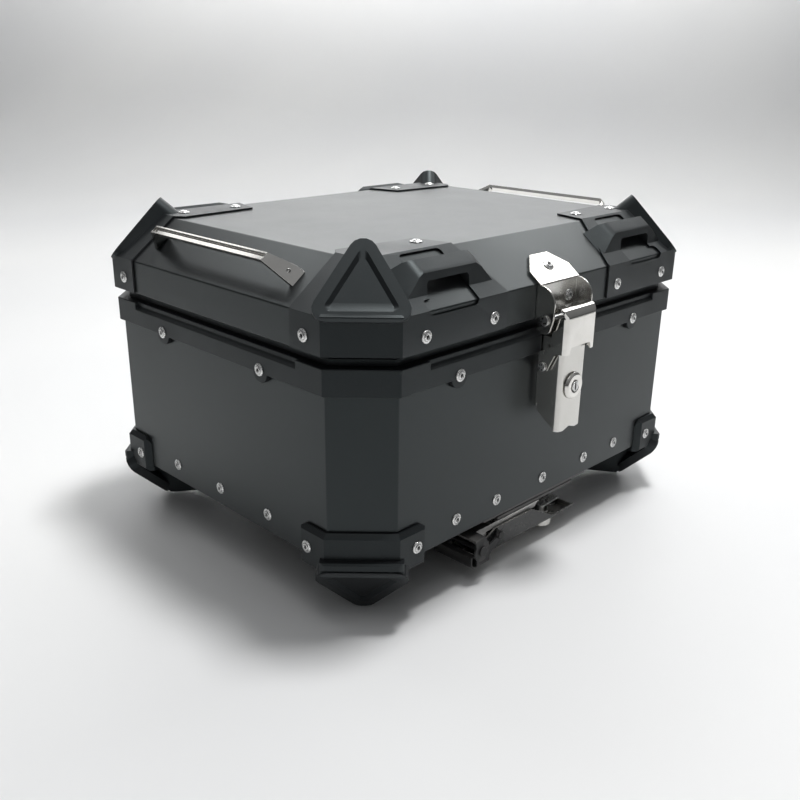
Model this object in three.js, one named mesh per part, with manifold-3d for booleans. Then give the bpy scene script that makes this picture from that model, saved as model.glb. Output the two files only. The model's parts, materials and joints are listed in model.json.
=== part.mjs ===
// Aluminium motorcycle top case with plastic corner guards, two tie-down handles,
// a lockable draw latch on the lid and a second one that frees the case from its rack plate.
// Millimetres, +Z up. The latch side faces -Y and the hinge side faces +Y.
// The origin is the centre of the rack plate's underside.
import * as THREE from 'three';
import { mergeVertices } from 'three/addons/utils/BufferGeometryUtils.js';
import Module from 'manifold-3d';

const wasm = await Module();
wasm.setup();

// ---------------------------------------------------------------- driving dimensions
const GAP = 0.3;                 // clearance between touching pieces
const STAND_HEIGHT = 48;         // rack plate underside to case underside

const LID = { x: 215, y: 174.8, cut: 38 };        // half sizes and corner cut of the lid
const LID_BOTTOM = 162;
const LID_CREASE = 189.4;                         // top of the lid's vertical band
const LID_TOP = 220.9;
const LID_INSET = 41.7;                           // plan width of the lid's sloping faces
const LID_SHEET = 1.8;

const BODY = { x: 211.5, y: 171.4, cut: 36 };
const BODY_TOP = 149;
const BODY_SHEET = 2;

const RIM_PROUD = 3.7;                            // rim outside the body sheet
const RIM_BOTTOM = 133.1;
const RIM_TOP = 153.3;
const RIM_RIVET_X = 116.5;
const RIM_RIVET_Y = 66.3;

const GUARD_PROUD = 1.7;                          // upper corner guards outside the sheet
const HINGE = { y: 179.8, z: 157.6, radius: 3.6, pin: 2, length: 124 };

const LATCH_X = -4.5;                             // centre line of the front latch
const CLAW_PIVOT_Z = 123.3;

const SLOPE = Math.atan2(LID_TOP - LID_CREASE, LID_INSET);

// ---------------------------------------------------------------- materials
function finish(color, roughness, metalness) {
  return new THREE.MeshStandardMaterial({ color, roughness, metalness });
}
const blackSheet = finish(0x1c1d1f, 0.45, 0.6);
const blackPlastic = finish(0x17181a, 0.7, 0);
const blackSteel = finish(0x202124, 0.5, 0.7);
const rubber = finish(0x0e0e0f, 0.9, 0);
const stainless = finish(0xb9bab8, 0.28, 1);
const polished = finish(0xd6d6d4, 0.14, 1);
const zinc = finish(0xa6a8aa, 0.35, 1);

// ---------------------------------------------------------------- solids
function solidOf(geometry) {
  const bare = geometry.clone();
  bare.deleteAttribute('normal');
  bare.deleteAttribute('uv');
  const merged = mergeVertices(bare, 1e-4);
  return new wasm.Manifold(new wasm.Mesh({
    numProp: 3,
    vertProperties: new Float32Array(merged.attributes.position.array),
    triVerts: new Uint32Array(merged.index.array),
  }));
}

function geometryOf(solid) {
  const mesh = solid.getMesh();
  const geometry = new THREE.BufferGeometry();
  geometry.setAttribute('position', new THREE.BufferAttribute(mesh.vertProperties, 3));
  geometry.setIndex(new THREE.BufferAttribute(mesh.triVerts, 1));
  geometry.computeVertexNormals();
  return geometry;
}

function union(first, ...others) {
  return others.reduce((sum, other) => sum.add(other), first);
}

function cut(first, ...others) {
  return others.reduce((rest, other) => rest.subtract(other), first);
}

// A coordinate frame whose local z is the direction in which outlines are extruded.
function frameAt(origin, ex, ey, ez) {
  const matrix = new THREE.Matrix4().makeBasis(vector(ex), vector(ey), vector(ez));
  return matrix.setPosition(...origin);
}

function vector(v) {
  return new THREE.Vector3(...v);
}

const PLAN = frameAt([0, 0, 0], [1, 0, 0], [0, 1, 0], [0, 0, 1]);
const ALONG_X = frameAt([0, 0, 0], [0, 1, 0], [0, 0, 1], [1, 0, 0]);     // outline in (y, z)

function extrude(points, from, to, frame = PLAN) {
  const shape = new THREE.Shape(points.map(([a, b]) => new THREE.Vector2(a, b)));
  const geometry = new THREE.ExtrudeGeometry(shape, { depth: to - from, bevelEnabled: false });
  geometry.translate(0, 0, from);
  geometry.applyMatrix4(frame);
  return solidOf(geometry);
}

function box(x, y, z) {
  const geometry = new THREE.BoxGeometry(x[1] - x[0], y[1] - y[0], z[1] - z[0]);
  geometry.translate((x[0] + x[1]) / 2, (y[0] + y[1]) / 2, (z[0] + z[1]) / 2);
  return solidOf(geometry);
}

// A round bar about the frame's local z through (a, b), from one height to another.
function rod(radius, a, b, from, to, frame = PLAN, sides = 20) {
  const geometry = new THREE.CylinderGeometry(radius, radius, to - from, sides);
  geometry.rotateX(Math.PI / 2);
  geometry.translate(a, b, (from + to) / 2);
  geometry.applyMatrix4(frame);
  return solidOf(geometry);
}

function arc(centreA, centreB, radius, start, end, steps) {
  const points = [];
  for (let i = 0; i <= steps; i += 1) {
    const angle = start + (end - start) * (i / steps);
    points.push([centreA + radius * Math.cos(angle), centreB + radius * Math.sin(angle)]);
  }
  return points;
}

// Rounds every corner of a polygon with arcs of one radius.
function rounded(points, radius, steps = 5) {
  const out = [];
  const count = points.length;
  for (let i = 0; i < count; i += 1) {
    const here = new THREE.Vector2(...points[i]);
    const before = new THREE.Vector2(...points[(i + count - 1) % count]).sub(here).normalize();
    const after = new THREE.Vector2(...points[(i + 1) % count]).sub(here).normalize();
    const half = Math.acos(THREE.MathUtils.clamp(before.dot(after), -1, 1)) / 2;
    const centre = before.clone().add(after).normalize().multiplyScalar(radius / Math.sin(half));
    const start = before.multiplyScalar(radius / Math.tan(half)).sub(centre).angle();
    const end = after.multiplyScalar(radius / Math.tan(half)).sub(centre).angle();
    let sweep = end - start;
    if (sweep > Math.PI) sweep -= 2 * Math.PI;
    if (sweep < -Math.PI) sweep += 2 * Math.PI;
    centre.add(here);
    out.push(...arc(centre.x, centre.y, radius, start, start + sweep, steps));
  }
  return out;
}

// A strip of constant thickness along an open path, with mitred bends.
function stripOutline(path, thickness) {
  const sides = [[], []];
  const half = thickness / 2;
  path.forEach((point, i) => {
    const here = new THREE.Vector2(...point);
    const back = i > 0 ? here.clone().sub(new THREE.Vector2(...path[i - 1])).normalize() : null;
    const next = path[i + 1] ? new THREE.Vector2(...path[i + 1]).sub(here).normalize() : back;
    const first = back || next;
    const normal = new THREE.Vector2(-first.y - next.y, first.x + next.x).normalize();
    const reach = half / Math.max(0.3, normal.dot(new THREE.Vector2(-next.y, next.x)));
    sides[0].push([here.x + normal.x * reach, here.y + normal.y * reach]);
    sides[1].unshift([here.x - normal.x * reach, here.y - normal.y * reach]);
  });
  return [...sides[0], ...sides[1]];
}

// A closed body through stacked convex loops, lowest first, each counterclockwise from above.
function loft(loops) {
  const count = loops[0].length;
  const position = loops.flat(2);
  const index = [];
  for (let level = 0; level < loops.length - 1; level += 1) {
    for (let i = 0; i < count; i += 1) {
      const a = level * count + i;
      const b = level * count + ((i + 1) % count);
      index.push(a, b, b + count, a, b + count, a + count);
    }
  }
  const top = (loops.length - 1) * count;
  for (let i = 1; i < count - 1; i += 1) {
    index.push(0, i + 1, i, top, top + i, top + i + 1);
  }
  const geometry = new THREE.BufferGeometry();
  geometry.setAttribute('position', new THREE.Float32BufferAttribute(position, 3));
  geometry.setIndex(index);
  return solidOf(geometry);
}

function placed(solid, frame) {
  const geometry = geometryOf(solid);
  geometry.applyMatrix4(frame);
  return solidOf(geometry);
}

function mirrored(solid, signX, signY) {
  const geometry = geometryOf(solid);
  geometry.scale(signX, signY, 1);
  if (signX * signY < 0) {
    const index = geometry.index.array;
    for (let i = 0; i < index.length; i += 3) {
      [index[i], index[i + 1]] = [index[i + 1], index[i]];
    }
  }
  return solidOf(geometry);
}

// ---------------------------------------------------------------- plan outlines
// A rectangle with its four corners cut at 45 degrees, grown outward by `by`.
function octagon(size, by = 0) {
  const x = size.x + by;
  const y = size.y + by;
  const c = size.cut + by * (2 - Math.SQRT2);
  return [[x, c - y], [x, y - c], [x - c, y], [c - x, y],
    [-x, y - c], [-x, c - y], [c - x, -y], [x - c, -y]];
}

function octagonPrism(size, by, from, to) {
  return extrude(octagon(size, by), from, to);
}

function loopAt(outline, z) {
  return outline.map(([x, y]) => [x, y, z]);
}

// The lid's outer surface moved outward by `by`, closed below at `bottom`.
function lidForm(by, bottom) {
  const crease = LID_CREASE + by * (1 / Math.cos(SLOPE) - Math.tan(SLOPE));
  const inset = LID_INSET - by * (1 / Math.sin(SLOPE) - 1 / Math.tan(SLOPE)) + by;
  const band = octagon(LID, by);
  return loft([loopAt(band, bottom), loopAt(band, crease),
    loopAt(octagon(LID, by - inset), LID_TOP + by)]);
}

// Frames on the sloping faces: outlines are drawn across and out of the face, and run up it.
const FRONT_BACK_SLOPE = frameAt([0, LID.y, LID_CREASE], [1, 0, 0],
  [0, Math.sin(SLOPE), Math.cos(SLOPE)], [0, -Math.cos(SLOPE), Math.sin(SLOPE)]);
const SIDE_SLOPE = frameAt([LID.x, 0, LID_CREASE], [Math.sin(SLOPE), 0, Math.cos(SLOPE)],
  [0, 1, 0], [-Math.cos(SLOPE), 0, Math.sin(SLOPE)]);

// Outlines drawn on the side slope itself: along the case, then up the slope.
const SIDE_FACE = frameAt([LID.x, 0, LID_CREASE], [0, 1, 0],
  [-Math.cos(SLOPE), 0, Math.sin(SLOPE)], [Math.sin(SLOPE), 0, Math.cos(SLOPE)]);

// A frame on a plane leaning over the corner, `reach` from the middle of the case: local x
// runs across the corner, y up or down the plane, and z out of it.
function cornerFrame(reach, z, leanDegrees, direction) {
  const lean = THREE.MathUtils.degToRad(leanDegrees);
  const k = Math.SQRT1_2;
  const along = -Math.cos(lean) * k;
  const out = Math.sin(lean) * k;
  return frameAt([reach.x, reach.y, z], [-direction * k, direction * k, 0],
    [along, along, direction * Math.sin(lean)], [out, out, direction * Math.cos(lean)]);
}

// A triangular pad with rounded corners and a shallow triangular recess, base along local x.
function trianglePad(halfBase, height, thickness, frame) {
  const margin = 10.6;
  const sink = 2.2;
  const wallWidth = 3.7;
  const outline = rounded([[-halfBase, 0], [halfBase, 0], [0, height]], 10, 5);
  const side = Math.hypot(halfBase, height);
  const shrink = 1 - margin / height - (margin * side) / (halfBase * height);
  const base = halfBase * shrink;
  const rise = height * shrink;
  const radius = (base * rise) / (base + Math.hypot(base, rise));
  const floor = rounded([[-base, 0], [base, 0], [0, rise]], 3, 3);
  const loopAtDepth = (grow, depth) => floor.map(([a, b]) => (
    [a * grow, margin + radius + (b - radius) * grow, depth]));
  const recess = loft([loopAtDepth(1, -sink), loopAtDepth(1 + wallWidth / radius, 0.5)]);
  return placed(cut(extrude(outline, -thickness, 0), recess), frame);
}

// ---------------------------------------------------------------- case body
function bodyShell() {
  const outer = octagonPrism(BODY, 0, 0, BODY_TOP);
  const inner = octagonPrism(BODY, -BODY_SHEET, BODY_SHEET, BODY_TOP + 1);
  return cut(outer, inner);
}

function bodyRim() {
  const bandInside = octagonPrism(BODY, GAP, RIM_BOTTOM - 12, BODY_TOP + GAP);
  const mouth = octagonPrism(BODY, -9, RIM_BOTTOM - 1, 170);
  const band = octagonPrism(BODY, RIM_PROUD, RIM_BOTTOM, RIM_TOP);
  const upstand = octagonPrism(BODY, -5.6, RIM_TOP - 1, 158.4);
  const lobes = rimLobes();
  const ledges = rimLedges();
  const latchPocket = box([LATCH_X - 14.5, LATCH_X + 14.5], [-180, -171], [120, 148.5]);
  return cut(union(band, upstand, ...lobes), bandInside, mouth, latchPocket, ...ledges);
}

// Small round ears on the rim's lower edge, under its rivets.
function rimLobes() {
  const ear = (half) => [...arc(0, 0, half, Math.PI, 2 * Math.PI, 10), [half, 4], [-half, 4]];
  const z = RIM_BOTTOM + 1.5;
  const lobes = [];
  for (const side of [-1, 1]) {
    for (const at of [-1, 1]) {
      const face = side * BODY.y;
      const onFront = frameAt([at * RIM_RIVET_X, face, z], [1, 0, 0], [0, 0, 1], [0, -1, 0]);
      const reachY = side < 0 ? [-1, RIM_PROUD] : [-RIM_PROUD, 1];
      lobes.push(extrude(ear(9), reachY[0], reachY[1], onFront));
      const edge = side * BODY.x;
      const onSide = frameAt([edge, at * RIM_RIVET_Y, z], [0, 1, 0], [0, 0, 1], [1, 0, 0]);
      const reachX = side > 0 ? [-1, RIM_PROUD] : [-RIM_PROUD, 1];
      lobes.push(extrude(ear(9), reachX[0], reachX[1], onSide));
    }
  }
  return lobes;
}

// Between the corners the rim's upper outer edge drops to a bevelled ledge.
function rimLedges() {
  const depth = 3.2;
  const drop = 6;
  const wedge = (outer) => [[outer + 1, RIM_TOP - drop - 1], [outer + 1, RIM_TOP + 1],
    [outer - depth, RIM_TOP + 1], [outer - depth, RIM_TOP - drop + 2.4], [outer, RIM_TOP - drop]];
  const outerY = BODY.y + RIM_PROUD;
  const outerX = BODY.x + RIM_PROUD;
  const alongX = extrude(wedge(outerY), -148, 148, ALONG_X);
  const sideFrame = frameAt([0, 0, 0], [1, 0, 0], [0, 0, 1], [0, -1, 0]);
  const alongY = extrude(wedge(outerX), -108, 108, sideFrame);
  return [alongX, mirrored(alongX, 1, -1), alongY, mirrored(alongY, -1, 1)];
}

function rimSeal() {
  return cut(octagonPrism(BODY, -5.4, 158.7, 161.7), octagonPrism(BODY, -9.2, 158, 162));
}

function floorMat() {
  return octagonPrism(BODY, -BODY_SHEET - 3, BODY_SHEET + GAP, BODY_SHEET + GAP + 3);
}

// ---------------------------------------------------------------- lower corner guards
const GUARD_END = { x: 147, y: 107 };             // where the wrap stops along each wall
const WRAP = { bottom: -5, bevel: 24.5, top: 28, proud: 5.5 };

function lowerGuard() {
  const foot = union(lowerGuardFoot(), lowerGuardPad());
  const caseBody = octagonPrism(BODY, GAP, -GAP, 60);
  return cut(union(lowerGuardWrap(), lowerGuardBulge(), foot), caseBody);
}

// A thin shell round the bottom corner, bevelled at its upper edge and at both ends.
function lowerGuardWrap() {
  const { x, y } = GUARD_END;
  const faceX = BODY.x + WRAP.proud;
  const faceY = BODY.y + WRAP.proud;
  const plan = [[x, y], [BODY.x, y], [faceX, y + 5], [230, y + 5], [230, 190], [x + 5, 190],
    [x + 5, faceY], [x, BODY.y]];
  const skin = octagon(BODY, WRAP.proud);
  const form = loft([loopAt(octagon(BODY, WRAP.proud - 2), WRAP.bottom),
    loopAt(skin, WRAP.bottom + 2), loopAt(skin, WRAP.bevel),
    loopAt(octagon(BODY, WRAP.proud - 3.5), WRAP.top)]);
  const upright = frameAt([0, 0, 0], [1, 0, 0], [0, 0, 1], [0, -1, 0]);
  const sideEar = extrude(earCorner(y), 200, 230, ALONG_X);
  const frontEar = extrude(earCorner(x), -190, -160, upright);
  return cut(form.intersect(extrude(plan, -8, WRAP.top)), sideEar, frontEar);
}

// What rounds off the upper corner of the wrap's end at `end`.
function earCorner(end) {
  const radius = 9;
  const z = WRAP.top - radius;
  return [[end - 1, z], ...arc(end + radius, z, radius, Math.PI, Math.PI / 2, 5),
    [end + radius, WRAP.top + 1], [end - 1, WRAP.top + 1]];
}

// A thick band across the cut corner, with a bevelled upper edge and a groove under it.
function lowerGuardBulge() {
  const outward = [Math.SQRT1_2, Math.SQRT1_2, 0];
  const across = [Math.SQRT1_2, -Math.SQRT1_2, 0];
  const centre = [BODY.x - BODY.cut / 2, BODY.y - BODY.cut / 2, 0];
  const frame = frameAt(centre, outward, [0, 0, 1], across);
  const proud = 11.4;
  const profile = [[-10, -4], [proud - 2, -4], [proud - 2, 1.6], [proud, 2.2], [proud, 6.4],
    [proud - 1.4, 7.8], [-10, 8.4]];
  const band = extrude(profile, -31, 31, frame);
  const ends = frameAt(centre, across, outward, [0, 0, 1]);
  const plan = rounded([[-32, -20], [32, -20], [32, proud], [-32, proud]], 6, 4);
  return band.intersect(extrude(plan, -30, 20, ends));
}

// The leaning triangular foot pad, its point downward.
function lowerGuardPad() {
  return trianglePad(43.4, 64, 9.3, cornerFrame({ x: 201.4, y: 161.3 }, 0.4, 57.2, -1));
}

// The stepped diagonal fin behind the pad.
function lowerGuardFoot() {
  const k = Math.SQRT1_2;
  const frame = frameAt([BODY.x - BODY.cut / 2, BODY.y - BODY.cut / 2, 0], [k, k, 0],
    [0, 0, 1], [k, -k, 0]);
  const profile = [[-66, -GAP], [-66, -38], [-56, -39.5], [-56, -41], [-40, -42.5], [-23, -44],
    [4, -GAP]];
  return extrude(profile, -10, 10, frame);
}

// ---------------------------------------------------------------- lid
function lidShell() {
  return cut(lidForm(0, LID_BOTTOM), lidForm(-LID_SHEET, LID_BOTTOM - 2));
}

// The plastic frame inside the lid's lower edge, which presses on the seal.
function lidFrame() {
  const outer = octagonPrism(LID, -LID_SHEET - GAP, LID_BOTTOM, LID_BOTTOM + 9);
  return cut(outer, octagonPrism(LID, -14, LID_BOTTOM - 1, LID_BOTTOM + 10));
}

function upperGuard() {
  const plan = [[68, 190], [68, LID.y], [85, LID.y - LID_INSET], [93, 102], [167, 97],
    [LID.x - LID_INSET, 105], [LID.x, 105], [230, 105], [230, 190]];
  const skin = lidForm(GUARD_PROUD, LID_BOTTOM + GAP).intersect(extrude(plan, 100, 260));
  const openings = [
    guardOpening([100, 143], [38.5, 50.5]),
    guardOpening([100, 152], [-3.2, 9]),
  ];
  const bar = tieDownBar();
  const pad = cornerPad();
  const lidVolume = lidForm(GAP, 100);
  return cut(union(cut(skin, ...openings), bar, pad), lidVolume, barTunnel());
}

function guardOpening(across, along) {
  const plan = rounded([[across[0], along[0]], [across[1], along[0]], [across[1], along[1]],
    [across[0], along[1]]], 4, 3);
  const frame = frameAt([0, LID.y, LID_CREASE], [1, 0, 0],
    [0, -Math.cos(SLOPE), Math.sin(SLOPE)], [0, -Math.sin(SLOPE), -Math.cos(SLOPE)]);
  return extrude(plan, -4, 4, frame);
}

// A raised bar across the sloping face, with a strap passage under it.
function tieDownBar() {
  const front = [[72, 0], [166, 0], [152, 10.5], [146, 13.5], [93, 13.5], [86, 10.5]];
  const blank = extrude(front, 10, 38, FRONT_BACK_SLOPE);
  const outOfFace = [0, Math.sin(SLOPE), Math.cos(SLOPE)];
  const upSlope = [0, -Math.cos(SLOPE), Math.sin(SLOPE)];
  const sideFrame = frameAt([0, LID.y, LID_CREASE], upSlope, outOfFace, [-1, 0, 0]);
  const side = [[11, 0], [15, 5], [22.5, 13], [25, 13.5], [35, 13.5], [37.5, 9], [38, 0]];
  return blank.intersect(extrude(side, -170, -70, sideFrame));
}

function barTunnel() {
  const passage = [[100, -1], [144, -1], [144, 7.5], [142, 9], [102, 9], [100, 7.5]];
  return extrude(passage, 4, 44, FRONT_BACK_SLOPE);
}

// The triangular pad that leans over each upper corner.
function cornerPad() {
  return trianglePad(40, 73.5, 26, cornerFrame({ x: 198.4, y: 158.2 }, 187.4, 50.3, 1));
}

// A formed stainless channel along each side slope, on legs that widen toward their feet.
function lidHandle() {
  const bend = 72;
  const foot = 88.5;
  const lift = 21;
  const [low, high] = [17.5, 25];
  const lip = 1.5;
  const path = [[-4, -foot - 4], [lift, -bend], [lift, bend], [-4, foot + 4]];
  const strip = extrude(stripOutline(path, 3.2), low, 32, SIDE_SLOPE);
  const channel = extrude([[lift - 0.6, -bend - 1], [lift + 3, -bend - 1],
    [lift + 3, bend + 1], [lift - 0.6, bend + 1]], low + lip, high - lip, SIDE_SLOPE);
  const plan = [[-foot - 8, low], [foot + 8, low], [foot + 8, 31.5], [foot - 2, 31.5],
    [bend + 1, high], [-bend - 1, high], [2 - foot, 31.5], [-foot - 8, 31.5]];
  return cut(strip.intersect(extrude(plan, GAP, 40, SIDE_FACE)), channel);
}

// ---------------------------------------------------------------- hinge
function hingeFixedLeaf() {
  const back = BODY.y + RIM_PROUD + GAP;
  const half = HINGE.length / 2;
  const leaf = box([-half, half], [back, back + 1.6], [137, 153]);
  const neck = box([-half, half], [back, HINGE.y], [152, 155.5]);
  const bevel = leaf.add(neck);
  const knuckles = rod(HINGE.radius, HINGE.y, HINGE.z, -half, half, ALONG_X);
  return cut(bevel.add(knuckles), hingeBore(), ...hingeSlots([1, 3]));
}

function hingeLidLeaf() {
  const back = LID.y + GAP;
  const half = HINGE.length / 2;
  const leaf = box([-half, half], [back, back + 1.6], [LID_BOTTOM + GAP, 182]);
  const neck = box([-half, half], [back, HINGE.y], [160, 163.5]);
  const knuckles = rod(HINGE.radius, HINGE.y, HINGE.z, -half, half, ALONG_X);
  const tongues = cut(union(neck, knuckles), hingeBore(), ...hingeSlots([0, 2, 4]));
  return leaf.add(tongues);
}

function hingeBore() {
  return rod(HINGE.pin + 0.3, HINGE.y, HINGE.z, -HINGE.length, HINGE.length, ALONG_X);
}

// Room for the other leaf's knuckles, by their number along the hinge.
function hingeSlots(numbers) {
  const width = HINGE.length / 5;
  return numbers.map((number) => {
    const start = -HINGE.length / 2 + number * width;
    return box([start - 0.3, start + width + 0.3], [HINGE.y - 4.4, HINGE.y + 5], [151, 164.5]);
  });
}

function hingePin() {
  const half = HINGE.length / 2;
  return rod(HINGE.pin, HINGE.y, HINGE.z, -half, half, ALONG_X);
}

// ---------------------------------------------------------------- draw latches
// Latch frame: x across, y toward the catch, z out of the mounting face;
// the claw's pivot is at x = 0, y = 0.
const CLAW_PIVOT = { y: 0, z: 9.4, radius: 2 };
const LEVER_PIVOT = { y: 17, z: 14, radius: 2 };
const ACROSS = frameAt([0, 0, 0], [0, 1, 0], [0, 0, 1], [1, 0, 0]);

const FRONT_LATCH = {
  leverEnd: -53, wallTaper: [1.5, 14], tongueEdge: 21, baseEnd: -37, catchY: 39.7,
  lockY: -16.3, lockProud: 3, lockInner: 5, camReach: 10.5,
};
const RACK_LATCH = {
  leverEnd: -112, wallTaper: [34, 64], tongueEdge: 20.5, baseEnd: -60, catchY: 27,
  lockY: -82, lockProud: 10.3, lockInner: 18, camReach: 24,
};
const LEVER_HALF = 16.5;
const LEVER_FRONT = 25;
const CLAW_HALF = 20.3;
const LATCH_SHEET = 1.5;

// The upper half of a bent sheet's cross-section, its edges rounded with `radius`.
function bentSection(half, front, radius) {
  return [...arc(half - radius, front - radius, radius, 0, Math.PI / 2, 4),
    ...arc(radius - half, front - radius, radius, Math.PI / 2, Math.PI, 4)];
}

// A channel section: the rounded sheet over a hollow one sheet thickness inside it.
function channelSection(half, front, radius, foot) {
  const inside = bentSection(half - LATCH_SHEET, front - LATCH_SHEET, radius - LATCH_SHEET);
  return [[half - LATCH_SHEET, foot], [half, foot], ...bentSection(half, front, radius),
    [-half, foot], [LATCH_SHEET - half, foot], ...inside.reverse()];
}

const ALONG_LATCH = frameAt([0, 0, 0], [-1, 0, 0], [0, 0, 1], [0, 1, 0]);

function latchBase(size) {
  const bottom = size.baseEnd;
  const plate = box([-13.7, 13.7], [bottom, 23.2], [0, LATCH_SHEET]);
  const cheek = [[10.8, 0], [23.2, 0], ...arc(17, 14, 6.2, 0, Math.PI, 10)];
  const lowWall = [[bottom, 0], [12, 0], [12, 5], [bottom + 6, 5]];
  const parts = [];
  for (const [from, to] of [[-13.7, -12.2], [12.2, 13.7]]) {
    parts.push(extrude(cheek, from, to, ACROSS));
    parts.push(extrude(lowWall, from, to, ACROSS));
  }
  const pinHole = rod(LEVER_PIVOT.radius + GAP, LEVER_PIVOT.y, LEVER_PIVOT.z, -20, 20, ACROSS);
  return cut(union(plate, ...parts), pinHole);
}

function latchLever(size) {
  const end = size.leverEnd;
  const [tongue, wall] = size.wallTaper;
  const section = channelSection(LEVER_HALF, LEVER_FRONT, 4, 3);
  const channel = extrude(section, end - 2, 24, ALONG_LATCH);
  const wave = [-LEVER_HALF, -8, 0, 8, LEVER_HALF].map((x) => [x, end + 1.6 * Math.cos(x * 0.28)]);
  const trimmed = channel.intersect(extrude([[-18, 30], ...wave, [18, 30]], 0, 30));
  const tongueEdge = size.tongueEdge;
  const flank = [[end - 4, 26], [end - 4, tongueEdge], [end + tongue, tongueEdge], [end + wall, 4],
    [3, 4], [4, 5], [12, 8], ...arc(17, 14, 7, -0.9, 1.2, 8), [19, 26]];
  const rim = box([2 - LEVER_HALF, LEVER_HALF - 2], [end + 1.7, end + 1.7 + LATCH_SHEET],
    [tongueEdge, LEVER_FRONT - 1]);
  const shaped = trimmed.intersect(extrude(flank, -20, 20, ACROSS)).add(rim);
  const holes = [
    rod(LEVER_PIVOT.radius + GAP, LEVER_PIVOT.y, LEVER_PIVOT.z, -20, 20, ACROSS),
    rod(CLAW_PIVOT.radius + GAP, CLAW_PIVOT.y, CLAW_PIVOT.z, -20, 20, ACROSS),
    rod(8.3 + GAP, 0, size.lockY, 15, 30, PLAN, 32),
  ];
  const bosses = [[-LEVER_HALF, LATCH_SHEET - LEVER_HALF], [LEVER_HALF - LATCH_SHEET, LEVER_HALF]]
    .map(([from, to]) => rod(4.2, CLAW_PIVOT.y, CLAW_PIVOT.z, from, to, ACROSS));
  return cut(union(shaped, ...bosses), ...holes);
}

// The claw: a bent sheet over the lever whose far end curls round the catch pin.
function latchClaw(size) {
  const top = size.catchY + 9.5;
  const front = 30;
  const sheet = extrude(channelSection(CLAW_HALF, front, 4, 4), -8, top - 7.5, ALONG_LATCH);
  const flank = [[13, front], [top - 6, front], [top - 8.5, 18], [17, 15], [4.5, 10],
    ...arc(0, 9.4, 4.5, 0.2, -2.9, 8), [-3, 13.5], [5, 17], [11, 20], [13, 23]];
  const body = sheet.intersect(extrude(flank, -25, 25, ACROSS));
  const curl = [[top - 9, front], [top - 5.5, front - 0.6], ...arc(top - 6, 22.5, 6, 1.1, 0, 4),
    [top, 17], [top - 4.5, 15.8], [top - 4.5, 17.4], [top - 1.6, 18.2],
    ...arc(top - 6, 22.5, 4.4, 0, 1.1, 4), [top - 9, front - LATCH_SHEET]];
  const rolled = extrude(curl, -CLAW_HALF, CLAW_HALF, ACROSS);
  const outline = [[CLAW_HALF, 0], ...bentSection(CLAW_HALF, front, 4), [-CLAW_HALF, 0]];
  const ends = extrude(outline, top - 12, top + 2, ALONG_LATCH);
  const notch = extrude(rounded([[-16.8, 0], [16.8, 0], [13, 18.5], [-13, 18.5]], 2, 3), 20, 35);
  const hole = rod(CLAW_PIVOT.radius + GAP, CLAW_PIVOT.y, CLAW_PIVOT.z, -25, 25, ACROSS);
  return cut(union(body, rolled.intersect(ends)), notch, hole);
}

function headedPin(pivot, halfLength, headRadius) {
  const shank = rod(pivot.radius, pivot.y, pivot.z, -halfLength, halfLength, ACROSS);
  const heads = [-1, 1].map((side) => {
    const a = side * (halfLength + 1.4);
    const b = side * halfLength;
    return rod(headRadius, pivot.y, pivot.z, Math.min(a, b), Math.max(a, b), ACROSS);
  });
  return union(shank, ...heads);
}

function leverPin() {
  return rod(LEVER_PIVOT.radius, LEVER_PIVOT.y, LEVER_PIVOT.z, -LEVER_HALF, LEVER_HALF, ACROSS);
}

function clawPin() {
  return headedPin(CLAW_PIVOT, CLAW_HALF + GAP, 3.6);
}

function lockBody(size) {
  const seat = LEVER_FRONT + GAP;
  const face = seat + size.lockProud;
  const inner = size.lockInner + 3;
  const profile = [[4.6, inner], [8, inner], [8, seat], [11.2, seat], [11.2, face - 2], [9.6, face],
    [5.6, face], [4.6, face - 1]];
  return lathe(profile, 0, size.lockY, 36);
}

function lockPlug(size) {
  const face = LEVER_FRONT + GAP + size.lockProud + 0.4;
  const inner = size.lockInner;
  const plug = lathe([[0, inner], [4.3, inner], [4.3, face], [0, face]], 0, size.lockY, 28);
  const keyway = box([-0.9, 0.9], [size.lockY - 3, size.lockY + 3], [face - 6, face + 1]);
  return cut(plug, keyway);
}

// The cam on the plug's inner end, pointing at the lever's free end when locked.
function lockCam(size) {
  const reach = size.lockY - size.camReach;
  const plan = [...arc(0, size.lockY, 5.5, 0, Math.PI, 10), [-4, reach], [4, reach]];
  return extrude(plan, size.lockInner - 2, size.lockInner - GAP);
}

function lathe(profile, x, y, sides) {
  const points = profile.map(([r, z]) => new THREE.Vector2(r, z));
  points.push(points[0].clone());
  const geometry = new THREE.LatheGeometry(points, sides);
  geometry.rotateX(Math.PI / 2);
  geometry.translate(x, y, 0);
  return solidOf(geometry);
}

// ---------------------------------------------------------------- catches
const CATCH_HALF = 25.5;
const CATCH_PIN = { y: -184.2, z: 162.5, radius: 2.3 };

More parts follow.
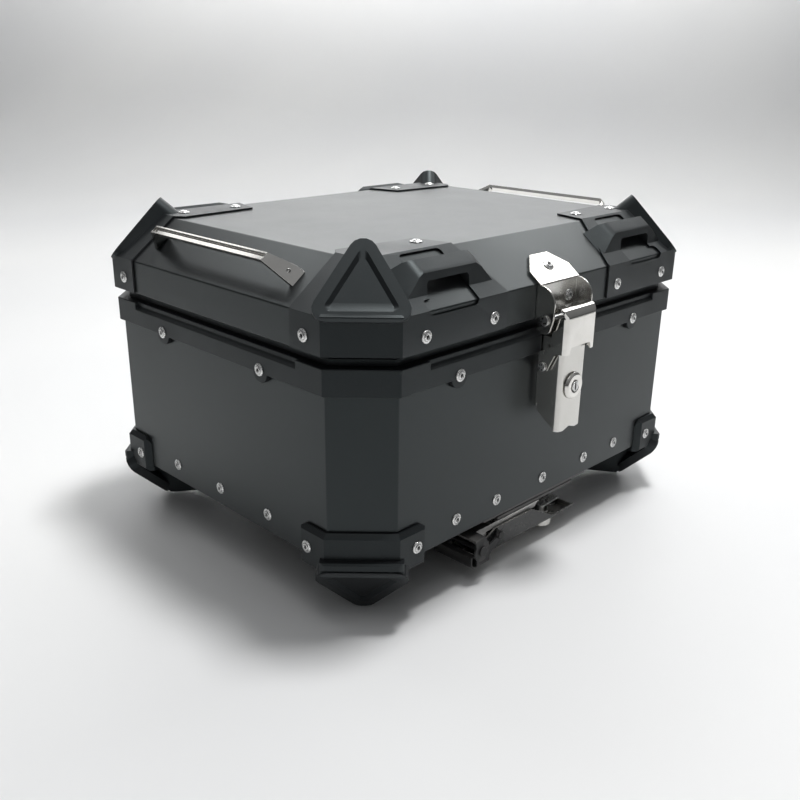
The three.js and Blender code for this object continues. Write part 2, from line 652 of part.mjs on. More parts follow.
function frontCatch() {
  const slopeFrame = frameAt([LATCH_X, -LID.y, LID_CREASE], [1, 0, 0],
    [0, Math.cos(SLOPE), Math.sin(SLOPE)], [0, -Math.sin(SLOPE), Math.cos(SLOPE)]);
  const h = CATCH_HALF;
  const tab = extrude([[-h, -2.6], [h, -2.6], [h, 11.5], [11.2, 26.5], [-11.2, 26.5],
    [-h, 11.5]], GAP, 2.3, slopeFrame);
  const face = -LID.y - GAP;
  const web = box([LATCH_X - h, LATCH_X + h], [face - 2, face], [164, LID_CREASE + 0.5]);
  const cheek = [[face, 189.4], [face, 164], [-177, 158], [-177, 153], [-181, 151.5],
    ...arc(-184, 157.5, 6, -1.57, -2.6, 4), [-191.7, 163], [-192.4, 171],
    ...arc(-177.9, 174.5, 14.6, 3.3, 1.75, 8)];
  const cheeks = [[-h, 1.5 - h], [h - 1.5, h]].map(([a, b]) => (
    extrude(cheek, LATCH_X + a, LATCH_X + b, ALONG_X)));
  const pinHole = rod(CATCH_PIN.radius + GAP, CATCH_PIN.y, CATCH_PIN.z, -60, 60, ALONG_X);
  const lidVolume = lidForm(GAP, 100).intersect(box([-60, 60], [-200, -100], [162, 260]));
  return cut(union(tab, web, ...cheeks), pinHole, lidVolume);
}

function frontCatchPin() {
  const reach = CATCH_HALF + 0.2;
  const shank = rod(CATCH_PIN.radius, CATCH_PIN.y, CATCH_PIN.z,
    LATCH_X - reach, LATCH_X + reach, ALONG_X);
  const heads = [[-reach - 1.5, -reach], [reach, reach + 1.5]].map(([a, b]) => (
    rod(4.2, CATCH_PIN.y, CATCH_PIN.z, LATCH_X + a, LATCH_X + b, ALONG_X)));
  return union(shank, ...heads);
}

// The catch of the rack latch, in the latch frame: a foot, two cheeks and a pin between them.
const RACK_CATCH_PIN = { y: RACK_LATCH.catchY, z: 12.3, radius: 2.3 };

function rackCatch() {
  const { y, z } = RACK_CATCH_PIN;
  const foot = box([-24, 24], [y - 3.2, y + 9], [GAP, 2.3]);
  const cheek = [[y - 3.2, GAP], [y + 9, GAP], ...arc(y, z, 9, -0.6, Math.PI + 0.6, 12)];
  const cheeks = [[-24, -22.5], [22.5, 24]].map(([a, b]) => extrude(cheek, a, b, ACROSS));
  const pinHole = rod(RACK_CATCH_PIN.radius + GAP, y, z, -30, 30, ACROSS);
  return cut(union(foot, ...cheeks), pinHole);
}

function rackCatchPin() {
  return headedPin(RACK_CATCH_PIN, 24.4, 4.2);
}

// ---------------------------------------------------------------- rack mounting
const CARRIER_SHEET = 4;
const RACK = { x: 120, y: 84, sheet: 5 };
const RAIL = { web: [100, 102], lip: 108, y: 88 };
const LATCH_FACE = -8;                            // mounting face of the rack latch
const LATCH_AT = { x: -58, y: -154.5 };           // claw pivot of the rack latch

// The plate under the case floor, with two hooked side rails.
function carrierPlate() {
  const top = -GAP;
  const low = top - CARRIER_SHEET;
  const halfPlan = [[72, -168], [72, -157.5], [92, -153], [118, -147], [118, 84]];
  const plan = [...halfPlan, ...halfPlan.map(([x, y]) => [-x, y]).reverse()];
  const plate = extrude(plan, low, top);
  const rails = [-1, 1].map((side) => {
    const wall = box(ordered(side * 114, side * 118), [-70, 84], [-38, top]);
    const hook = box(ordered(side * 104, side * 118), [-70, 84], [-16, -13]);
    const toe = box(ordered(side * 112, side * 118), [-70, 84], [-38, -35]);
    return union(wall, hook, toe);
  });
  return cut(union(plate, ...rails), box([-60, 60], [-110, 40], [-9, 1]));
}

function ordered(a, b) {
  return [Math.min(a, b), Math.max(a, b)];
}

// The plate that bolts to the motorcycle's rack, with two lipped rails and four slots.
function rackPlate() {
  const floor = -STAND_HEIGHT;
  const top = floor + RACK.sheet;
  const lipTop = -GAP - CARRIER_SHEET - GAP;
  const plan = rounded([[-RACK.x, -RACK.y], [RACK.x, -RACK.y], [RACK.x, RACK.y],
    [-RACK.x, RACK.y]], 18, 4);
  const plate = extrude(plan, floor, top);
  const windows = [-55, 55].map((x) => (
    extrude(rounded([[x - 22, -30], [x + 22, -30], [x + 22, 30], [x - 22, 30]], 8, 3),
      floor - 1, top + 1)));
  const slots = [-1, 1].flatMap((sx) => [-1, 1].map((sy) => (
    extrude(slotPlan(sx * 74, sy * 52, 14, 4.3), floor - 1, top + 1))));
  const rails = [-1, 1].map((side) => {
    const web = box(ordered(side * RAIL.web[0], side * RAIL.web[1]), [-RAIL.y, 84],
      [top - 1, lipTop]);
    const lip = box(ordered(side * RAIL.web[0], side * RAIL.lip), [-72, 84],
      [lipTop - 2, lipTop]);
    return web.add(lip);
  });
  const notch = box([-110, -98], [-84.5, -72.5], [-13, 0]);
  return cut(union(plate, ...rails), ...windows, notch, ...slots);
}

function slotPlan(x, y, half, radius) {
  return [...arc(x + half, y, radius, -Math.PI / 2, Math.PI / 2, 6),
    ...arc(x - half, y, radius, Math.PI / 2, 1.5 * Math.PI, 6)];
}

// The packing plate that the rack latch's base is fastened to.
function latchSpacer() {
  const top = -GAP - CARRIER_SHEET - GAP;
  return box([-54, 52], [-168, -141], [LATCH_FACE + GAP, top]);
}

// The sliding bar that the rack latch pulls: its tongue holds the case on the rail.
function lockBar() {
  const plan = [[-114, -145], [-83, -145], [-83, -132], [-102.5, -132], [-102.5, -83.5],
    [-98.5, -83.5], [-98.5, -73.5], [-114, -73.5]];
  return extrude(plan, LATCH_FACE + GAP, LATCH_FACE + 3);
}

// ---------------------------------------------------------------- assembly
const group = new THREE.Group();
const caseGroup = new THREE.Group();
caseGroup.position.z = STAND_HEIGHT;
group.add(caseGroup);

function add(parent, name, solid, material) {
  const mesh = new THREE.Mesh(geometryOf(solid), material);
  mesh.name = name;
  parent.add(mesh);
}

const CORNERS = { front_left: [-1, -1], front_right: [1, -1], rear_left: [-1, 1], rear_right: [1, 1] };

function addCase() {
  add(caseGroup, 'body_shell', bodyShell(), blackSheet);
  add(caseGroup, 'body_rim', bodyRim(), blackPlastic);
  add(caseGroup, 'rim_seal', rimSeal(), rubber);
  add(caseGroup, 'floor_mat', floorMat(), rubber);
  const guard = lowerGuard();
  for (const [corner, [sx, sy]] of Object.entries(CORNERS)) {
    add(caseGroup, `lower_guard_${corner}`, mirrored(guard, sx, sy), blackPlastic);
  }
}

function addLid() {
  add(caseGroup, 'lid_shell', lidShell(), blackSheet);
  add(caseGroup, 'lid_frame', lidFrame(), blackPlastic);
  const guard = upperGuard();
  for (const [corner, [sx, sy]] of Object.entries(CORNERS)) {
    add(caseGroup, `upper_guard_${corner}`, mirrored(guard, sx, sy), blackPlastic);
  }
  const handle = lidHandle();
  add(caseGroup, 'lid_handle_left', mirrored(handle, -1, 1), polished);
  add(caseGroup, 'lid_handle_right', handle, polished);
  add(caseGroup, 'hinge_leaf_body', hingeFixedLeaf(), blackSteel);
  add(caseGroup, 'hinge_leaf_lid', hingeLidLeaf(), blackSteel);
  add(caseGroup, 'hinge_pin', hingePin(), zinc);
  add(caseGroup, 'catch_front', frontCatch(), stainless);
  add(caseGroup, 'catch_front_pin', frontCatchPin(), zinc);
}

function addLatch(prefix, size, frame) {
  const latch = new THREE.Group();
  latch.applyMatrix4(frame);
  caseGroup.add(latch);
  add(latch, `${prefix}_base`, latchBase(size), stainless);
  add(latch, `${prefix}_lever`, latchLever(size), stainless);
  add(latch, `${prefix}_claw`, latchClaw(size), polished);
  add(latch, `${prefix}_lever_pin`, leverPin(), zinc);
  add(latch, `${prefix}_claw_pin`, clawPin(), zinc);
  add(latch, `${prefix}_lock_body`, lockBody(size), polished);
  add(latch, `${prefix}_lock_plug`, lockPlug(size), zinc);
  add(latch, `${prefix}_lock_cam`, lockCam(size), zinc);
  return latch;
}

function addLatches() {
  const front = frameAt([LATCH_X, -BODY.y - GAP, CLAW_PIVOT_Z], [1, 0, 0], [0, 0, 1], [0, -1, 0]);
  addLatch('latch', FRONT_LATCH, front);
  const under = frameAt([LATCH_AT.x, LATCH_AT.y, LATCH_FACE], [0, -1, 0], [-1, 0, 0], [0, 0, -1]);
  const rackLatch = addLatch('rack_latch', RACK_LATCH, under);
  add(rackLatch, 'rack_catch', rackCatch(), stainless);
  add(rackLatch, 'rack_catch_pin', rackCatchPin(), zinc);
}

function addRackMounting() {
  add(caseGroup, 'carrier_plate', carrierPlate(), blackSteel);
  add(caseGroup, 'rack_latch_spacer', latchSpacer(), blackSteel);
  add(caseGroup, 'lock_bar', lockBar(), blackSteel);
  add(caseGroup, 'rack_plate', rackPlate(), blackSteel);
}

addCase();
addLid();
addLatches();
addRackMounting();

export default group;
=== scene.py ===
"""Looks of the motorcycle top case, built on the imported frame. Metres, row frame."""
import json
import math

import bmesh
import bpy
from mathutils import Matrix, Vector


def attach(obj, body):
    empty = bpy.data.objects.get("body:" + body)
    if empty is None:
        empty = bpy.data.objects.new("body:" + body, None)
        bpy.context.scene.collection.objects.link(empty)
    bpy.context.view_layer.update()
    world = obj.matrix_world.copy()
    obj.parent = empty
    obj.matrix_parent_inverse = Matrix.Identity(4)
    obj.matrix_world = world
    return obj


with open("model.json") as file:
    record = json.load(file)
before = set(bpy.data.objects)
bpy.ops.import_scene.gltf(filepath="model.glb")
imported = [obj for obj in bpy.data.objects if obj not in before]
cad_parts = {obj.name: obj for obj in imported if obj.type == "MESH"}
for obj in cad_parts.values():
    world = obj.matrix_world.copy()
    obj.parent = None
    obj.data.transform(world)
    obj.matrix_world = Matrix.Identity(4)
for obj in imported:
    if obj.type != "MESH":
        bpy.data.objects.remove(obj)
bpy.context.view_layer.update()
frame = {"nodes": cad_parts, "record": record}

NODES = frame["nodes"]
SLOTS = {part["node"]: part["material_slot"] for part in frame["record"]["subparts"]}

# Millimetres, measured from the middle of the case floor.
STAND = 48                               # the case floor above the rack plate's underside
SLOPE = math.atan2(31.5, 41.7)           # the lid's sloping faces
LATCH_X = -4.5
LID_HALF = (215, 174.8)
GUARD_PROUD = 1.7                        # the upper guards stand off the lid by this
RIM_FACE = (215.2, 175.1)
BODY_FACE = (211.5, 171.4)
RIM_RIVET_Z = 135.9
FLOOR_RIVET_Z = 15.4
LID_TOP_RIVET_Z = 222.6


def mm(x, y, z):
    """A point given in millimetres above the case floor, as metres in the row frame."""
    return Vector((x, y, z + STAND)) / 1000


# ------------------------------------------------------------------ materials
class Nodes:
    """A short way to wire one material."""

    def __init__(self, name):
        self.material = bpy.data.materials.new(name)
        self.material.use_nodes = True
        self.tree = self.material.node_tree
        self.shader = self.tree.nodes["Principled BSDF"]
        self.coords = self.tree.nodes.new("ShaderNodeTexCoord").outputs["Object"]

    def node(self, kind, **settings):
        made = self.tree.nodes.new("ShaderNode" + kind)
        for key, value in settings.items():
            setattr(made, key, value)
        return made

    def link(self, source, target):
        self.tree.links.new(source, target)

    def noise(self, scale, detail=3.0, roughness=0.5, stretch=None):
        made = self.node("TexNoise")
        made.inputs["Scale"].default_value = scale
        made.inputs["Detail"].default_value = detail
        made.inputs["Roughness"].default_value = roughness
        source = self.coords
        if stretch:
            mapping = self.node("Mapping")
            mapping.inputs["Scale"].default_value = stretch
            self.link(self.coords, mapping.inputs["Vector"])
            source = mapping.outputs["Vector"]
        self.link(source, made.inputs["Vector"])
        return made.outputs["Fac"]

    def spread(self, value, low, high, start=0.3, end=0.7):
        """Maps start..end onto low..high, and holds it there outside."""
        made = self.node("MapRange")
        ends = zip(("From Min", "From Max", "To Min", "To Max"), (start, end, low, high))
        for key, number in ends:
            made.inputs[key].default_value = number
        self.link(value, made.inputs["Value"])
        return made.outputs["Result"]

    def mix(self, factor, first, second):
        made = self.node("Mix", data_type="RGBA")
        self.link(factor, made.inputs[0])
        for socket, colour in ((made.inputs[6], first), (made.inputs[7], second)):
            if isinstance(colour, tuple):
                socket.default_value = (*colour, 1)
            else:
                self.link(colour, socket)
        return made.outputs[2]

    def bump(self, height, strength, distance, before=None):
        made = self.node("Bump")
        made.inputs["Strength"].default_value = strength
        made.inputs["Distance"].default_value = distance
        self.link(height, made.inputs["Height"])
        if before is not None:
            self.link(before, made.inputs["Normal"])
        return made.outputs["Normal"]

    def edges(self, start=0.52, end=0.62):
        """1 on the outer arrises, 0 on flat faces."""
        pointy = self.node("NewGeometry").outputs["Pointiness"]
        return self.spread(pointy, 0, 1, start, end)

    def out(self, **links):
        for key, source in links.items():
            self.link(source, self.shader.inputs[key.replace("_", " ")])
        return self.material

    def plain(self, **values):
        for key, value in values.items():
            self.shader.inputs[key.replace("_", " ")].default_value = value


COOL_GLOSS = (0.86, 0.98, 1.0, 1)        # both black finishes reflect slightly blue-green


def coated_sheet():
    """Satin powder coat on aluminium: fine orange peel, faint smudges and rubbed edges."""
    n = Nodes("coated_sheet")
    n.plain(IOR=1.5, Specular_Tint=COOL_GLOSS)
    smudge = n.noise(7, 5, 0.62)
    grain = n.noise(3200, 2)
    colour = n.mix(n.spread(smudge, 0, 1), (0.0040, 0.0045, 0.0050), (0.0070, 0.0075, 0.0080))
    speck = n.mix(n.spread(grain, 0, 0.5, 0.45, 0.8), colour, (0.022, 0.023, 0.024))
    rubbed = n.mix(n.edges(0.54, 0.66), speck, (0.05, 0.05, 0.05))
    rough = n.spread(smudge, 0.30, 0.36)
    peel = n.bump(n.noise(1500, 2), 0.12, 0.0002)
    fine = n.bump(grain, 0.10, 0.0001, peel)
    return n.out(Base_Color=rubbed, Roughness=rough, Normal=fine)


def moulded_plastic():
    """Black glass-filled nylon: spark-eroded grain, slightly lighter rubbed edges."""
    n = Nodes("moulded_plastic")
    n.plain(IOR=1.42, Specular_Tint=COOL_GLOSS)
    cloud = n.noise(22, 4, 0.6)
    dust = n.noise(700, 3, 0.7)
    colour = n.mix(n.spread(cloud, 0, 1), (0.0070, 0.0078, 0.0090), (0.0115, 0.0120, 0.0130))
    dusty = n.mix(n.spread(dust, 0, 0.4, 0.6, 0.85), colour, (0.045, 0.045, 0.044))
    worn = n.mix(n.edges(0.53, 0.64), dusty, (0.035, 0.036, 0.038))
    rough = n.spread(cloud, 0.38, 0.48)
    grain = n.bump(n.noise(1900, 3, 0.6), 0.22, 0.00022)
    return n.out(Base_Color=worn, Roughness=rough, Normal=grain)


def coated_steel():
    """Semi-matte powder coat on steel, worn bright on its edges."""
    n = Nodes("coated_steel")
    n.plain(IOR=1.45)
    cloud = n.noise(40, 4)
    colour = n.mix(n.spread(cloud, 0, 1), (0.012, 0.012, 0.013), (0.020, 0.020, 0.021))
    worn = n.mix(n.edges(), colour, (0.09, 0.088, 0.085))
    rough = n.spread(cloud, 0.42, 0.56)
    peel = n.bump(n.noise(900, 2), 0.2, 0.0003)
    return n.out(Base_Color=worn, Roughness=rough, Normal=peel)


def rubber():
    """Matte black seal rubber with a fine grain."""
    n = Nodes("rubber")
    n.plain(IOR=1.5)
    cloud = n.noise(60, 4)
    colour = n.mix(n.spread(cloud, 0, 1), (0.008, 0.008, 0.008), (0.016, 0.016, 0.016))
    rough = n.spread(cloud, 0.72, 0.85)
    grain = n.bump(n.noise(1500, 3), 0.35, 0.0003)
    return n.out(Base_Color=colour, Roughness=rough, Normal=grain)


def satin_steel():
    """Brushed stainless: long fine scratches in colour, roughness and height."""
    n = Nodes("satin_steel")
    n.plain(Metallic=1.0)
    brush = n.noise(1, 3, 0.6, (5200, 5200, 90))
    smudge = n.noise(30, 4, 0.6)
    colour = n.mix(n.spread(brush, 0, 1), (0.60, 0.59, 0.565), (0.72, 0.71, 0.68))
    both = n.mix(n.spread(smudge, 0, 0.35), colour, (0.52, 0.51, 0.49))
    rough = n.spread(n.mix(smudge, brush, smudge), 0.17, 0.30)
    scratch = n.bump(brush, 0.06, 0.00005)
    return n.out(Base_Color=both, Roughness=rough, Normal=scratch)


def steel_with_painted_side_shade():
    """Bare satin faces between sides that face along y, which carry painted shade: a dark,
    non-metal colour on every face turned along y.
    """
    n = Nodes("steel_with_painted_side_shade")
    split = n.node("SeparateXYZ")
    n.link(n.node("TexCoord").outputs["Normal"], split.inputs[0])
    size = n.node("Math", operation="ABSOLUTE")
    n.link(split.outputs["Y"], size.inputs[0])
    # side is 1 on faces turned along y, where the shade is painted.
    side = n.spread(size.outputs[0], 0, 1, 0.60, 0.80)
    brush = n.noise(1, 3, 0.6, (90, 5200, 5200))
    smudge = n.noise(30, 4, 0.6)
    bare = n.mix(n.spread(brush, 0, 1), (0.56, 0.55, 0.53), (0.70, 0.69, 0.66))
    # coat is the dark colour of the painted shade on the sides that face along y.
    coat = n.mix(n.spread(smudge, 0, 1), (0.012, 0.013, 0.013), (0.024, 0.025, 0.025))
    colour = n.mix(side, bare, coat)
    worn = n.mix(n.edges(0.55, 0.64), colour, (0.60, 0.59, 0.57))
    # The painted shade on those sides is also made non-metal.
    metal = n.spread(side, 1, 0, 0, 1)
    rough = n.spread(smudge, 0.22, 0.34)
    peel = n.bump(n.noise(1500, 2), 0.08, 0.0001)
    return n.out(Base_Color=worn, Metallic=metal, Roughness=rough, Normal=peel)


def polished_steel():
    """Electropolished stainless: a clear reflection with faint wipe marks."""
    n = Nodes("polished_steel")
    n.plain(Metallic=1.0)
    smudge = n.noise(45, 5, 0.65)
    colour = n.mix(n.spread(smudge, 0, 1), (0.80, 0.785, 0.755), (0.70, 0.685, 0.655))
    rough = n.spread(smudge, 0.05, 0.12)
    wipe = n.bump(n.noise(160, 3), 0.05, 0.0001)
    return n.out(Base_Color=colour, Roughness=rough, Normal=wipe)


def plated_metal():
    """Pins and lock parts: bright alloy with small pits."""
    n = Nodes("plated_metal")
    n.plain(Metallic=1.0)
    cloud = n.noise(500, 3)
    colour = n.mix(n.spread(cloud, 0, 1), (0.50, 0.50, 0.50), (0.74, 0.74, 0.73))
    rough = n.spread(cloud, 0.22, 0.38)
    pits = n.bump(n.noise(3000, 2), 0.15, 0.00008)
    return n.out(Base_Color=colour, Roughness=rough, Normal=pits)


def rivet_metal():
    """Blind rivets: bright flange, with painted shade in the step round the head and in the
    hollow middle.
    """
    n = Nodes("rivet_metal")
    n.plain(Metallic=0.9)
    flat = n.node("VectorMath", operation="MULTIPLY")
    flat.inputs[1].default_value = (1, 1, 0)
    n.link(n.coords, flat.inputs[0])
    length = n.node("VectorMath", operation="LENGTH")
    n.link(flat.outputs["Vector"], length.inputs[0])
    flange = RIVET_RADIUS / 1000
    radius = n.spread(length.outputs["Value"], 0, 1, 0, flange)
    cloud = n.noise(900, 3)
    metal = n.mix(n.spread(cloud, 0, 1), (0.62, 0.62, 0.61), (0.86, 0.86, 0.85))
    # The ramp paints shade by radius: dark in the hollow middle, a dark ring in the crease
    # between head and flange, and a little at the flange's rim.
    step = n.node("ValToRGB")
    shade_stops = step.color_ramp.elements
    shade_stops[0].position, shade_stops[0].color = 0.0, (1, 1, 1, 1)
    shade_stops[1].position, shade_stops[1].color = 1.0, (0.15, 0.15, 0.15, 1)
    for position, grey in ((0.27, 1), (0.31, 0.1), (0.58, 0), (0.66, 0.55), (0.74, 0), (0.93, 0)):
        shade_stops.new(position).color = (grey, grey, grey, 1)
    n.link(radius, step.inputs["Fac"])
    with_painted_shade = n.mix(step.outputs["Color"], metal, (0.012, 0.012, 0.012))
    return n.out(Base_Color=with_painted_shade, Roughness=n.spread(cloud, 0.2, 0.36))


RIVET_RADIUS = 4.9                       # the flange of a full-size rivet
BLACK_STEEL = coated_steel()
STEEL_WITH_PAINTED_SIDE_SHADE = steel_with_painted_side_shade()
LOOK = {
    "black_sheet": coated_sheet(),
    "black_plastic": moulded_plastic(),
    "rubber": rubber(),
    "black_steel": BLACK_STEEL,
    "stainless": satin_steel(),
    "polished_steel": polished_steel(),
    "zinc": plated_metal(),
}
# The rack latch's lever and base carry painted shade on their sides that face along y, and its
# claw, catch and pins take the dark coated-steel finish, so these nodes don't wear the finish of
# their slot.
OWN_FINISH = {
    "rack_latch_lever": STEEL_WITH_PAINTED_SIDE_SHADE,
    "rack_latch_base": STEEL_WITH_PAINTED_SIDE_SHADE,
    "rack_latch_claw": BLACK_STEEL,
    "rack_catch": BLACK_STEEL,
    "rack_catch_pin": BLACK_STEEL,
    "rack_latch_claw_pin": BLACK_STEEL,
}


# ------------------------------------------------------------------ carried-over nodes
WELD = 0.00001
ARRIS = 0.0006
OWN_ARRIS = {"body_shell": 0.0008, "lid_shell": 0.0008, "body_rim": 0.0007, "rim_seal": 0.0008}
FLAT_WITHIN = math.radians(0.6)          # faces this nearly level become one
SHARP_FROM = math.radians(28)            # edges bent more than this are rounded


def dress(name):
    """Rounds the arrises of a CAD node and gives it its finish."""
    obj = NODES[name]
    obj.data.materials.clear()
    obj.data.materials.append(OWN_FINISH.get(name, LOOK[SLOTS[name]]))
    weld = obj.modifiers.new("weld", "WELD")
    weld.merge_threshold = WELD
    flat = obj.modifiers.new("flat", "DECIMATE")
    flat.decimate_type = "DISSOLVE"
    flat.angle_limit = FLAT_WITHIN
    bevel = obj.modifiers.new("bevel", "BEVEL")
    bevel.width = OWN_ARRIS.get(name, ARRIS)
    bevel.segments = 3
    bevel.limit_method = "ANGLE"
    bevel.angle_limit = SHARP_FROM
    bevel.use_clamp_overlap = True
    bevel.harden_normals = False
    normals = obj.modifiers.new("normals", "WEIGHTED_NORMAL")
    normals.keep_sharp = True
    obj.data.shade_smooth()
    triangles = obj.modifiers.new("triangles", "TRIANGULATE")
    triangles.keep_custom_normals = True


for node_name in NODES:
    dress(node_name)


# ------------------------------------------------------------------ rivets
SEGMENTS = 28                            # round one rivet
# Radius and height from the shank's end, over the flange and the head, to the hollow middle.
RIVET_PROFILE = (
    (0, -1.2), (2.4, -1.2), (2.4, 0), (4.75, 0), (RIVET_RADIUS, 0.15), (RIVET_RADIUS, 0.5),
    (4.6, 0.85), (3.9, 1.0), (3.25, 1.1), (3.0, 1.55), (2.6, 1.85), (2.1, 1.95), (1.7, 1.8),
    (1.45, 1.4), (1.35, 0.2), (1.2, 0.1), (0.9, 0.35), (0.5, 0.45), (0, 0.5))


def ring_of(bm, radius, height):
    """One vertex on the axis, or a ring of them round it."""
    if radius == 0:
        return [bm.verts.new((0, 0, height))]
    turns = [math.tau * i / SEGMENTS for i in range(SEGMENTS)]
    return [bm.verts.new((radius * math.cos(a), radius * math.sin(a), height)) for a in turns]


def mesh_from(bm, name):
    bmesh.ops.recalc_face_normals(bm, faces=bm.faces)
    mesh = bpy.data.meshes.new(name)
    bm.to_mesh(mesh)
    bm.free()
    mesh.shade_smooth()
    return mesh


def rivet_mesh(name, scale):
    """The rivet's profile turned about z."""
    bm = bmesh.new()
    size = scale / 1000
    rings = [ring_of(bm, radius * size, height * size) for radius, height in RIVET_PROFILE]
    for lower, upper in zip(rings, rings[1:]):
        for i in range(SEGMENTS):
            j = (i + 1) % SEGMENTS
            if len(lower) == 1:
                bm.faces.new((lower[0], upper[j], upper[i]))
            elif len(upper) == 1:
                bm.faces.new((lower[i], lower[j], upper[0]))
            else:
                bm.faces.new((lower[i], lower[j], upper[j], upper[i]))
    mesh = mesh_from(bm, name)
    mesh.materials.append(RIVET_METAL)
    return mesh


RIVET_METAL = rivet_metal()
RIVET = rivet_mesh("rivet", 1.0)
SMALL_RIVET = rivet_mesh("small_rivet", 0.55)
counts = {}


def rivet(group, body, point, outward, mesh=RIVET):
    counts[group] = counts.get(group, 0) + 1
    obj = bpy.data.objects.new(f"rivet_{group}_{counts[group]}", mesh)
    bpy.context.scene.collection.objects.link(obj)
    turn = Vector(outward).to_track_quat("Z", "Y").to_matrix().to_4x4()
    obj.matrix_world = Matrix.Translation(point) @ turn
    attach(obj, body)


def lid_corner_rivets(sx, sy):
    """Through the upright faces and the top of one upper guard."""
    lid_x, lid_y = (half + GUARD_PROUD for half in LID_HALF)
    for x in (155.0, 82.5):
        rivet("lid_corner", "lid", mm(sx * x, sy * lid_y, 172.8), (0, sy, 0))
    rivet("lid_corner", "lid", mm(sx * lid_x, sy * 119.8, 173.9), (sx, 0, 0))
    for x, y in ((102.9, 114.9), (156.3, 115.7)):
        rivet("lid_top", "lid", mm(sx * x, sy * y, LID_TOP_RIVET_Z), (0, 0, 1))


def body_corner_rivets(sx, sy):
    """Through the rim, the floor's edge and one lower guard."""
    rivet("rim", "case", mm(sx * 116.5, sy * RIM_FACE[1], RIM_RIVET_Z), (0, sy, 0))
    rivet("rim", "case", mm(sx * RIM_FACE[0], sy * 66.3, RIM_RIVET_Z), (sx, 0, 0))
    rivet("floor_edge", "case", mm(sx * BODY_FACE[0], sy * 64.3, FLOOR_RIVET_Z), (sx, 0, 0))
    for x in (61.6, 110.8):
        rivet("floor_edge", "case", mm(sx * x, sy * BODY_FACE[1], FLOOR_RIVET_Z), (0, sy, 0))
    rivet("foot", "case", mm(sx * 160, sy * 176.9, 12.2), (0, sy, 0))
    rivet("foot", "case", mm(sx * 217, sy * 118.4, 11.4), (sx, 0, 0))


def handle_screw(sx, sy):
    leg = (0.408 * sx, 0.736 * sy, 0.540)
    rivet("handle", "lid", mm(sx * 199.7, sy * 84.5, 209.8), leg, SMALL_RIVET)


def catch_rivets():
    """One in the catch's tab on the slope, two in its foot."""
    up_slope = Vector((0, math.cos(SLOPE), math.sin(SLOPE)))
    out = Vector((0, -math.sin(SLOPE), math.cos(SLOPE)))
    crease = mm(LATCH_X, -LID_HALF[1], 189.4)
    rivet("catch", "lid", crease + up_slope * 0.0134 + out * 0.0023, out)
    for dx in (-14.6, 14.6):
        rivet("catch", "lid", mm(LATCH_X + dx, -177.1, 175.5), (0, -1, 0))


def hinge_rivets():
    for x in (-50, -18, 18, 50):
        rivet("hinge", "case", mm(x, 177.0, 144.5), (0, 1, 0))
        rivet("hinge", "lid", mm(x, 176.7, 173.5), (0, 1, 0))


def all_rivets():
    for side in (-1, 1):
        for end in (-1, 1):
            lid_corner_rivets(side, end)
            body_corner_rivets(side, end)
            handle_screw(side, end)
        rivet("floor_edge", "case", mm(side * BODY_FACE[0], 0, FLOOR_RIVET_Z), (side, 0, 0))
        rivet("floor_edge", "case", mm(0, side * BODY_FACE[1], FLOOR_RIVET_Z), (0, side, 0))
    catch_rivets()
    hinge_rivets()


all_rivets()


# ------------------------------------------------------------------ floor, light, camera
VIEW = Vector((0.710, 0.704, 0))         # the level direction the camera looks in
FLOOR_HALF_WIDTH = 7
FLOOR_ALONG = (-9.0, -3.0, -1.0, 0.0, 1.0)
SWEEP_FROM = 2.0                         # where the floor starts to curve up
SWEEP_RADIUS = 1.8
SWEEP_STEPS = 16
WALL_TOP = 7.0


def backdrop_mesh():
    """A floor that sweeps up into a wall behind the case."""
    path = [(along, 0.0) for along in FLOOR_ALONG]
    for i in range(SWEEP_STEPS + 1):
        turn = math.radians(90 * i / SWEEP_STEPS)
        path.append((SWEEP_FROM + SWEEP_RADIUS * math.sin(turn),
                     SWEEP_RADIUS * (1 - math.cos(turn))))
    path.append((SWEEP_FROM + SWEEP_RADIUS, WALL_TOP))
    up = Vector((0, 0, 1))
    side = VIEW.cross(up)
    bm = bmesh.new()
    rows = []
    for along, height in path:
        rows.append([bm.verts.new(VIEW * along + side * across + up * height)
                     for across in (-FLOOR_HALF_WIDTH, FLOOR_HALF_WIDTH)])
    for lower, upper in zip(rows, rows[1:]):
        bm.faces.new((lower[0], lower[1], upper[1], upper[0]))
    return mesh_from(bm, "floor")


def pale_paper():
    """Pale grey paper, a little uneven."""
    n = Nodes("floor")
    n.plain(Roughness=0.5, IOR=1.35)
    cloud = n.noise(1.1, 2, 0.4)
    folds = n.noise(1, 2, 0.4, (0.5, 1.6, 0.5))
    colour = n.mix(n.spread(cloud, 0, 1), (0.75, 0.755, 0.755), (0.81, 0.81, 0.80))
    soft = n.mix(n.spread(folds, 0, 0.6), colour, (0.70, 0.705, 0.715))
    return n.out(Base_Color=soft)


def pale_floor():
    mesh = backdrop_mesh()
    mesh.materials.append(pale_paper())
    obj = bpy.data.objects.new("floor", mesh)
    bpy.context.scene.collection.objects.link(obj)
    obj.location.z = -0.0005


# Name, place, the point it faces, width and height, watts, and the spread of its beam in degrees.
LIGHTS = (
    ("key", (0.42, -0.20, 2.5), (0, 0, 0), (0.5, 0.5), 50, 180),
    ("back", (2.35, 2.35, 1.95), (0, 0, 0.2), (4.6, 1.9), 7, 100),
    ("left_slope", (-0.1, 1.8, 2.2), (-0.2, 0, 0.25), (0.7, 0.7), 6, 180),
    ("front_slope", (2.1, -0.1, 2.0), (0, -0.18, 0.25), (1.0, 0.8), 11, 180),
    ("bar_glint", (-0.25, 2.3, 1.85), (-0.2, 0, 0.26), (0.9, 0.35), 1.3, 180),
    ("near_pads", (-0.65, -0.65, 2.3), (-0.2, -0.16, 0.25), (1.1, 1.1), 4, 180),
    ("wall_wash", (1.7, 1.7, 2.9), (3.7, 3.6, 1.7), (3.6, 0.8), 84, 110),
)


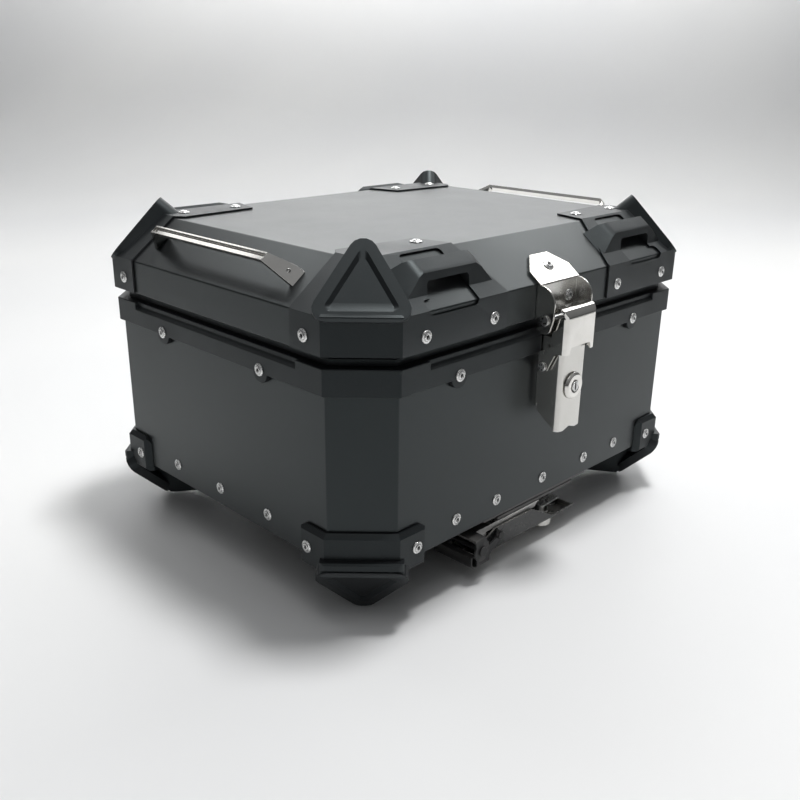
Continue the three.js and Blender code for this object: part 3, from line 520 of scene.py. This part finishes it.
def area(name, at, look_at, size, power, spread):
    data = bpy.data.lights.new(name, "AREA")
    data.shape = "RECTANGLE"
    data.size, data.size_y = size
    data.energy = power
    data.spread = math.radians(spread)
    obj = bpy.data.objects.new(name, data)
    bpy.context.scene.collection.objects.link(obj)
    obj.location = at
    facing = Vector(look_at) - Vector(at)
    obj.rotation_euler = facing.to_track_quat("-Z", "Y").to_euler()


def sky():
    """Faint light all round, brighter overhead."""
    world = bpy.data.worlds.new("studio")
    bpy.context.scene.world = world
    world.use_nodes = True
    tree = world.node_tree
    back = tree.nodes["Background"]
    back.inputs["Color"].default_value = (0.97, 0.985, 1.0, 1)
    coords = tree.nodes.new("ShaderNodeTexCoord")
    split = tree.nodes.new("ShaderNodeSeparateXYZ")
    lift = tree.nodes.new("ShaderNodeMapRange")
    ends = (("From Min", -0.1), ("From Max", 0.9), ("To Min", 0.05), ("To Max", 0.30))
    for key, number in ends:
        lift.inputs[key].default_value = number
    tree.links.new(coords.outputs["Generated"], split.inputs[0])
    tree.links.new(split.outputs["Z"], lift.inputs["Value"])
    tree.links.new(lift.outputs["Result"], back.inputs["Strength"])


CAMERA_AT = (-584.77, -578.14, 345.84)
YAW, PITCH, ROLL = (math.radians(angle) for angle in (45.24, -20.44, 0.76))
FOCAL_LENGTH = 40.45
SENSOR_WIDTH = 36


def camera():
    forward = Vector((math.sin(YAW) * math.cos(PITCH), math.cos(YAW) * math.cos(PITCH),
                      math.sin(PITCH)))
    right = Vector((math.cos(YAW), -math.sin(YAW), 0))
    up = right.cross(forward)
    across = right * math.cos(ROLL) + up * math.sin(ROLL)
    above = up * math.cos(ROLL) - right * math.sin(ROLL)
    turn = Matrix((across, above, -forward)).transposed().to_4x4()
    data = bpy.data.cameras.new("camera")
    data.lens = FOCAL_LENGTH
    data.sensor_width = SENSOR_WIDTH
    data.clip_start = 0.01
    data.clip_end = 100
    obj = bpy.data.objects.new("camera", data)
    bpy.context.scene.collection.objects.link(obj)
    obj.matrix_world = Matrix.Translation(mm(*CAMERA_AT)) @ turn
    bpy.context.scene.camera = obj


pale_floor()
sky()
for light in LIGHTS:
    area(*light)
camera()
bpy.context.scene.view_settings.view_transform = "Standard"

bpy.context.view_layer.update()
